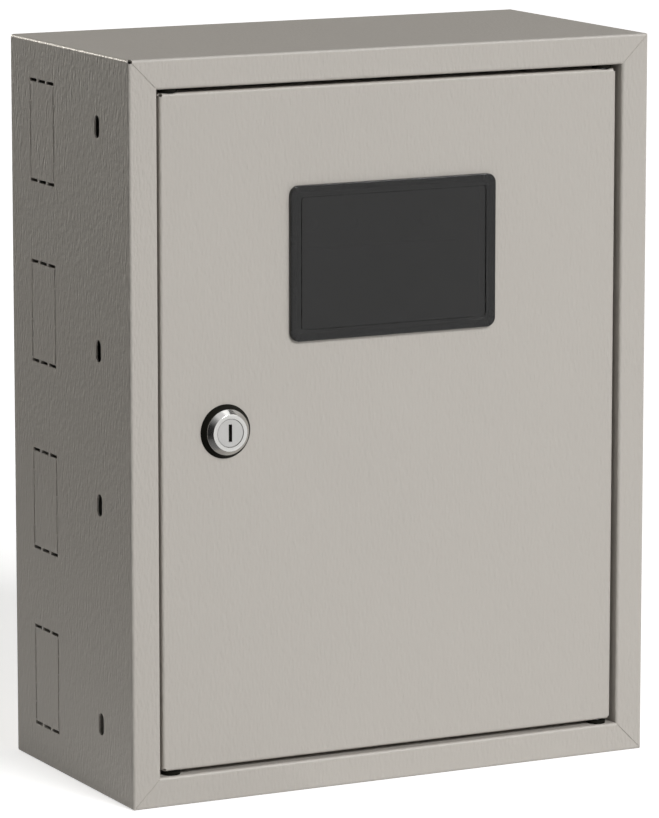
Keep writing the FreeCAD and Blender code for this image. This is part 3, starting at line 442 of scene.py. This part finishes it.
def cross_head(shape, x, z, under, top, diameter, angle):
    """Pan head with a cross recess turned to an angle."""
    half_arm, recess_depth, steps = 0.6, 1.5, 48
    radius, recess, bottom = diameter / 2.0, 0.29 * diameter, top - recess_depth
    crown = [(top - 0.7, 0.95 * radius), (top - 0.25, 0.82 * radius), (top, 0.66 * radius)]
    turn(shape, x, z, [(under, 0.0), (under, radius), (bottom, radius), *crown,
                       (top, recess), (bottom, recess), (bottom, 0.0)], steps=steps)
    for quarter in range(4):
        old = set(shape.faces)
        shank(shape, x, z, bottom, top, 2.0 * recess, steps)
        for turned in (quarter, quarter + 1):
            side = spoke(angle + turned * math.pi / 2.0)
            cut_flat(shape, old, put(x, under, z) + side * half_arm * MM, -side)


def soften(shape, width, left_sharp=()):
    """Small round along every edge that turns by 30 degrees or more, other than those left sharp."""
    sharp = [edge for edge in shape.edges if edge not in left_sharp
             and edge.is_manifold and edge.calc_face_angle() > math.radians(30.0)]
    bmesh.ops.bevel(shape, geom=sharp, offset=width * MM, offset_type="OFFSET", segments=2, profile=0.5,
                    affect="EDGES", clamp_overlap=True, material=-1)


def add_piece(name, shape, body, look, *replaced):
    """Makes a piece that rides on a body and takes the record's slot of its finish."""
    smooth_up_to = math.radians(38.0)
    mesh = bpy.data.meshes.new(name)
    shape.to_mesh(mesh)
    shape.free()
    mesh.materials.append(look)
    mesh.polygons.foreach_set("use_smooth", [True] * len(mesh.polygons))
    mesh.set_sharp_from_angle(angle=smooth_up_to)
    piece = bpy.data.objects.new(name, mesh)
    scene.collection.objects.link(piece)
    even = piece.modifiers.new("even_normals", "WEIGHTED_NORMAL")
    even.keep_sharp = True
    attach(piece, body)
    if replaced:
        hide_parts(*replaced)


# Pieces with the threads, chamfers and screwdriver slots that the CAD nodes leave out

def threaded_stud(shape, x, z, root, tip, length, foot=None):
    """Plain shank on a foot, if it has one, then a thread of a length up to the chamfered tip."""
    way = math.copysign(1.0, tip - root)
    radius, core = STUD / 2.0, thread_core(STUD, STUD_PITCH) - STUD_CORE_RELIEF
    shank_end = tip - way * length
    turn(shape, x, z, [(root, 0.0), *(foot or [(root, radius)]), (shank_end, radius), (shank_end, core),
                       (tip - way * STUD_TIP_CHAMFER, core), (tip, STUD_TIP / 2.0), (tip, 0.0)])
    thread(shape, x, z, shank_end - way * STUD_PITCH, tip - way * STUD_TIP_CHAMFER / 2.0, STUD, STUD_PITCH)


def dress_panel_studs():
    """Threaded studs and chamfered nuts that hold the mounting panel."""
    studs, nuts = bmesh.new(), bmesh.new()
    root, tip = reach("panel_studs", "depth")
    seat = reach("mounting_panel", "depth")[0]
    foot = [(root, STUD_SHOULDER / 2.0), (seat, STUD_SHOULDER / 2.0), (seat, STUD / 2.0)]
    for x in outer_places("panel_nuts", "x", STUD_NUT / math.sqrt(3.0)):
        for z in outer_places("panel_nuts", "z", STUD_NUT / 2.0):
            threaded_stud(studs, x, z, root, tip, PANEL_STUD_THREAD, foot)
            hexagon_block(nuts, x, z, *reach("panel_nuts", "depth"), STUD_NUT, STUD + NUT_PLAY)
    soften(nuts, NUT_ROUND)
    add_piece("panel_studs_threaded", studs, "case", ZINC, "panel_studs")
    add_piece("panel_nuts_chamfered", nuts, "case", ZINC, "panel_nuts")


def dress_earth_stud(stud_node, nut_node, body, root, tip, length):
    """Threaded earth stud with its nut."""
    stud, nut = bmesh.new(), bmesh.new()
    x, z = middle(nut_node, "x"), middle(nut_node, "z")
    threaded_stud(stud, x, z, root, tip, length)
    hexagon_block(nut, x, z, *reach(nut_node, "depth"), STUD_NUT, STUD + NUT_PLAY)
    soften(nut, NUT_ROUND)
    add_piece(stud_node + "_threaded", stud, body, ZINC, stud_node)
    add_piece(nut_node + "_chamfered", nut, body, ZINC, nut_node)


def dress_earth_studs():
    """Earth studs of the case, which stands up from the rear, and of the door, which points back."""
    rear, front = reach("earth_stud", "depth")
    dress_earth_stud("earth_stud", "earth_nut", "case", rear, front, EARTH_STUD_THREAD)
    rear, front = reach("door_earth_stud", "depth")
    dress_earth_stud("door_earth_stud", "door_earth_nut", "door", front, rear, DOOR_STUD_THREAD)


def dress_lock_collar():
    """Black ring between the door and the lock's rim, with rounded edges."""
    rear, front = reach("lock_collar", "depth")
    collar = bmesh.new()
    turn(collar, LOCK_X, LOCK_Z, [(rear, COLLAR_BORE / 2.0), (rear, COLLAR / 2.0),
                                  (front, COLLAR_FRONT / 2.0), (front, COLLAR_BORE / 2.0)],
         closed=True, steps=LOCK_STEPS)
    soften(collar, COLLAR_ROUND)
    add_piece("lock_collar_moulded", collar, "door", BLACK, "lock_collar")


def dress_lock_housing():
    """Cone rim of the lock and the threaded barrel behind it, bored in steps for the plug."""
    rear, face = reach("lock_housing", "depth")
    seat = reach("lock_collar", "depth")[1]
    thread_start = rear + BARREL_THREAD
    core = thread_core(BARREL, BARREL_PITCH)
    housing = bmesh.new()
    turn(housing, LOCK_X, LOCK_Z, [
        (face - MOUTH_DEPTH, PLUG_BORE / 2.0), (face - MOUTH_DEPTH, MOUTH / 2.0), (face, MOUTH / 2.0),
        (face, RIM_FACE / 2.0), (seat + RIM_EDGE, RIM / 2.0), (seat, RIM / 2.0), (seat, BARREL / 2.0),
        (thread_start, BARREL / 2.0), (thread_start, core), (rear, core), (rear, REAR_BORE / 2.0),
        (face - PLUG_BORE_DEPTH, REAR_BORE / 2.0), (face - PLUG_BORE_DEPTH, PLUG_BORE / 2.0)],
         closed=True, steps=LOCK_STEPS)
    mouth = put(LOCK_X, face, LOCK_Z)
    bore = {edge for edge in housing.edges if (edge.verts[0].co - mouth).length < SHARP_MOUTH * MM}
    soften(housing, RIM_ROUND, bore)
    thread(housing, LOCK_X, LOCK_Z, thread_start + BARREL_RUN_IN, rear + BARREL_RUN_OUT, BARREL, BARREL_PITCH)
    add_piece("lock_housing_threaded", housing, "door", CHROME, "lock_housing")


def dress_lock_nut():
    nut = bmesh.new()
    hexagon_block(nut, LOCK_X, LOCK_Z, *reach("lock_nut", "depth"), LOCK_NUT, BARREL + NUT_PLAY)
    soften(nut, LOCK_NUT_ROUND)
    add_piece("lock_nut_chamfered", nut, "door", ZINC, "lock_nut")


def fill_keyway_with_painted_shade():
    """Black block behind the mouth of the keyway: painted shade that stands in for the dark depth of the
    slot.
    """
    wide, deep, high = KEYWAY_SHADE_BLOCK
    front = reach("lock_plug", "depth")[1] - KEYWAY_SHADE_SUNK
    size = Matrix.Diagonal((wide * MM, deep * MM, high * MM, 1.0))
    gate = bmesh.new()
    place = Matrix.Translation(put(LOCK_X, front - deep / 2.0, LOCK_Z))
    bmesh.ops.create_cube(gate, size=1.0, matrix=place @ size)
    # Painted shade: a black block that darkens the keyway
    add_piece("keyway_painted_shade", gate, "lock_rotor", BLACK)


def dress_cam_screw():
    rear, tip = reach("cam_screw", "depth")
    under = reach("cam_washer", "depth")[0]
    screw = bmesh.new()
    shank(screw, LOCK_X, LOCK_Z, under, tip, CAM_SCREW)
    hexagon_block(screw, LOCK_X, LOCK_Z, rear, under, CAM_SCREW_HEAD)
    soften(screw, NUT_ROUND)
    add_piece("cam_screw_chamfered", screw, "lock_rotor", ZINC, "cam_screw")


def dress_rail_screws():
    """Cross-head screws of the rail, each left at its own angle."""
    tip, top = reach("rail_screws", "depth")
    under = top - RAIL_SCREW_HEAD_HEIGHT
    z = middle("rail_screws", "z")
    screws = bmesh.new()
    for x in outer_places("rail_screws", "x", RAIL_SCREW_HEAD / 2.0):
        shank(screws, x, z, tip, under, RAIL_SCREW)
        cross_head(screws, x, z, under, top, RAIL_SCREW_HEAD, angle=0.3 + 0.01 * x)
    soften(screws, RAIL_SCREW_ROUND)
    add_piece("rail_screws_recessed", screws, "case", ZINC, "rail_screws")


def bar_screw(shape, node, x, z, angle):
    """Slotted screw of a terminal bar, as deep as the others of its CAD node."""
    tip, top = reach(node, "depth")
    under = top - BAR_SCREW_HEAD_HEIGHT
    shank(shape, x, z, tip, under, BAR_SCREW, steps=32)
    slotted_head(shape, x, z, under, top, BAR_SCREW_HEAD, angle)


def dress_bar_screws(bolts_node, screws_node):
    """Bolts that hold a terminal bar and the screws of its ways, each left at its own angle."""
    bolts, screws = bmesh.new(), bmesh.new()
    z = middle(screws_node, "z")
    for side, x in zip((-1.0, 1.0), outer_places(bolts_node, "x", BAR_SCREW_HEAD / 2.0)):
        bar_screw(bolts, bolts_node, x, z, angle=0.6 + 0.9 * side + 0.01 * z)
    first, last = outer_places(screws_node, "x", BAR_SCREW_HEAD / 2.0)
    for way in range(BAR_WAYS):
        x = first + (last - first) * way / (BAR_WAYS - 1)
        bar_screw(screws, screws_node, x, z, angle=2.4 * way + 0.03 * z)
    soften(bolts, BAR_SCREW_ROUND)
    soften(screws, BAR_SCREW_ROUND)
    add_piece(bolts_node + "_slotted", bolts, "case", ZINC, bolts_node)
    add_piece(screws_node + "_slotted", screws, "case", ZINC, screws_node)


dress_panel_studs()
dress_earth_studs()
dress_lock_collar()
dress_lock_housing()
dress_lock_nut()
# Painted shade in the keyway, a black block
fill_keyway_with_painted_shade()
dress_cam_screw()
dress_rail_screws()
dress_bar_screws("neutral_bolts", "neutral_screws")
dress_bar_screws("earth_bolts", "earth_screws")


# Floor, light and camera

def white_rays(tree):
    """1 where the camera, a mirror or a clear piece looks at the surroundings."""
    path = add(tree, "ShaderNodeLightPath")
    seen = calc(tree, "MAXIMUM", path.outputs["Is Camera Ray"], path.outputs["Is Glossy Ray"])
    return calc(tree, "MAXIMUM", seen, path.outputs["Is Transmission Ray"])


def bare_material(name):
    """Material with an empty tree, and the output that its own shaders go to."""
    made, tree, _ = new_material(name)
    tree.nodes.clear()
    return made, tree, add(tree, "ShaderNodeOutputMaterial").inputs["Surface"]


def floor_material():
    """Pale floor that takes the shadow and is lifted to white where it is seen."""
    lift = 0.62
    made, tree, result = bare_material("floor_white")
    matt = add(tree, "ShaderNodeBsdfDiffuse", {"Color": (0.8, 0.8, 0.8, 1.0)})
    glow = add(tree, "ShaderNodeEmission", {
        "Color": WHITE, "Strength": calc(tree, "MULTIPLY", white_rays(tree), lift)})
    both = add(tree, "ShaderNodeAddShader", {0: matt.outputs["BSDF"], 1: glow.outputs["Emission"]})
    tree.links.new(both.outputs["Shader"], result)
    return made


def card_material(name, axis, dark, pale, glow):
    """Black card that a mirror sees grow paler along an axis, between two places."""
    made, tree, surface = new_material(name)
    place = add(tree, "ShaderNodeTexCoord")
    axes = add(tree, "ShaderNodeSeparateXYZ", {"Vector": place.outputs["Object"]})
    fade = add(tree, "ShaderNodeMapRange", {
        "Value": axes.outputs[axis], "From Min": dark, "From Max": pale, "To Max": glow})
    path = add(tree, "ShaderNodeLightPath")
    tree.links.new(calc(tree, "MULTIPLY", fade.outputs["Result"], path.outputs["Is Glossy Ray"]),
                   surface.inputs["Emission Strength"])
    surface.inputs["Emission Color"].default_value = WHITE
    surface.inputs["Base Color"].default_value = (0.02, 0.02, 0.02, 1.0)
    surface.inputs["Roughness"].default_value = 0.9
    return made


def softbox_material(name, strength):
    made, tree, result = bare_material(name)
    glow = add(tree, "ShaderNodeEmission", {"Color": WHITE, "Strength": strength})
    tree.links.new(glow.outputs["Emission"], result)
    return made


def lying(x, y, above_floor):
    """Place of a sheet that lies flat."""
    return Matrix.Translation((x, y, FLOOR_Z + above_floor))


def upright(x, y, above_floor, about):
    """Place of a sheet that stands, turned up about an axis."""
    return lying(x, y, above_floor) @ Matrix.Rotation(math.pi / 2.0, 4, about)


def facing(toward, away):
    """Place at a distance in a direction, square to that direction."""
    line = Vector(toward)
    return Matrix.Translation(line * away) @ line.to_track_quat("Z", "Y").to_matrix().to_4x4()


def stage_sheet(name, place, half_width, look):
    """Flat sheet of the studio, which is no part of the object."""
    mesh = bpy.data.meshes.new(name)
    shape = bmesh.new()
    bmesh.ops.create_grid(shape, x_segments=1, y_segments=1, size=half_width, matrix=place)
    shape.to_mesh(mesh)
    shape.free()
    mesh.materials.append(look)
    sheet = bpy.data.objects.new(name, mesh)
    scene.collection.objects.link(sheet)
    return sheet


def shading_card(name, place, half_width, look):
    """Card out of sight that darkens the sides next to it and shows in mirrors."""
    sheet = stage_sheet(name, place, half_width, look)
    sheet.visible_camera = False
    sheet.visible_shadow = False
    return sheet


def mirrored_sheet(name, place, half_width, look):
    """Sheet that only reflections see."""
    sheet = shading_card(name, place, half_width, look)
    sheet.visible_diffuse = False
    sheet.visible_transmission = False


def stand_cards():
    """Dark cards round the set, which shade the sides and show in the lock's rim."""
    black = card_material("card_black", "Z", dark=0.0, pale=1.0, glow=0.0)
    rising = card_material("card_rising", "Z", dark=0.3, pale=2.0, glow=0.9)
    inward = card_material("card_inward", "X", dark=-0.5, pale=-0.05, glow=0.8)
    dim = card_material("card_dim", "X", dark=-0.6, pale=0.1, glow=0.35)
    left = upright(-0.85, 0.6, above_floor=1.2, about="Y")
    rear = upright(0.6, 2.5, above_floor=1.8, about="X")
    low = lying(-1.55, 0.9, above_floor=0.001)
    front = lying(-0.25, -0.34, above_floor=0.002)
    high = facing((0.53, -0.01, 0.85), away=2.04)
    shading_card("card_left", left, half_width=1.2, look=rising)
    shading_card("card_rear", rear, half_width=1.55, look=black)
    mirrored_sheet("card_low", low, half_width=1.5, look=inward)
    mirrored_sheet("card_front", front, half_width=0.2, look=dim)
    mirrored_sheet("card_high", high, half_width=0.32, look=black)


def hang_softboxes():
    """Bright sheets overhead, for the glints on the lock's rim and on the frame's upper bend."""
    gentle = softbox_material("softbox_rim", strength=1.8)
    bright = softbox_material("softbox_bend", strength=7.5)
    over_rim = facing((0.16, -0.08, 0.98), away=2.1)
    over_bend = facing((0.5, -0.56, 0.66), away=2.0)
    mirrored_sheet("softbox_rim", over_rim, half_width=0.4, look=gentle)
    mirrored_sheet("softbox_bend", over_bend, half_width=0.36, look=bright)


def light_surroundings():
    """White surroundings to look at, which light the box only dimly."""
    dim, seen = 0.18, 1.0
    world = bpy.data.worlds.new("studio")
    world.use_nodes = True
    scene.world = world
    tree = world.node_tree
    background = tree.nodes["Background"]
    tree.links.new(span(tree, white_rays(tree), dim, seen), background.inputs["Strength"])
    background.inputs["Color"].default_value = WHITE


def hang_lamp(name, kind, toward, strength):
    """Lamp that shines back from a direction."""
    lamp = bpy.data.lights.new(name, kind)
    lamp.energy = strength
    hung = bpy.data.objects.new(name, lamp)
    scene.collection.objects.link(hung)
    hung.rotation_euler = Vector(toward).to_track_quat("Z", "Y").to_euler()
    return hung


def hang_suns():
    """Soft key light from the front, and a low warm light from behind that grazes the left side."""
    key = hang_lamp("key", "SUN", toward=(0.15, -0.82, 0.58), strength=2.05)
    key.data.angle = math.radians(20.0)
    rim = hang_lamp("rim", "SUN", toward=(-0.11, 0.97, 0.15), strength=2.0)
    rim.data.angle = math.radians(10.0)
    rim.data.color = (1.0, 0.95, 0.85)


def hang_fill():
    """Small soft light close by on the right, which lifts that side of the front a little."""
    fill = hang_lamp("fill", "AREA", toward=(0.45, -0.6, 0.0), strength=0.45)
    fill.data.size = 0.4
    fill.location = (0.45, -0.75, 0.0)
    fill.visible_camera = False
    fill.visible_glossy = False


def aim_camera():
    """Camera of the photograph, from a fit to the corners of the box."""
    azimuth, elevation = math.radians(-26.94), math.radians(9.91)
    distance, moved_right, moved_up, lens = 2.8867, 0.0342, -0.0189, 226.5
    right = Vector((math.cos(azimuth), math.sin(azimuth), 0.0))
    back = Vector((math.sin(azimuth) * math.cos(elevation), -math.cos(azimuth) * math.cos(elevation),
                   math.sin(elevation)))
    up = back.cross(right)
    camera = bpy.data.objects.new("camera", bpy.data.cameras.new("camera"))
    scene.collection.objects.link(camera)
    place = back * distance + right * moved_right + up * moved_up
    camera.matrix_world = Matrix.Translation(place) @ Matrix((right, up, back)).transposed().to_4x4()
    camera.data.lens = lens
    scene.camera = camera


stage_sheet("floor", lying(0.0, 0.0, above_floor=0.0), half_width=12.0, look=floor_material())
light_surroundings()
hang_suns()
hang_fill()
stand_cards()
hang_softboxes()
aim_camera()
scene.view_settings.view_transform = "Standard"
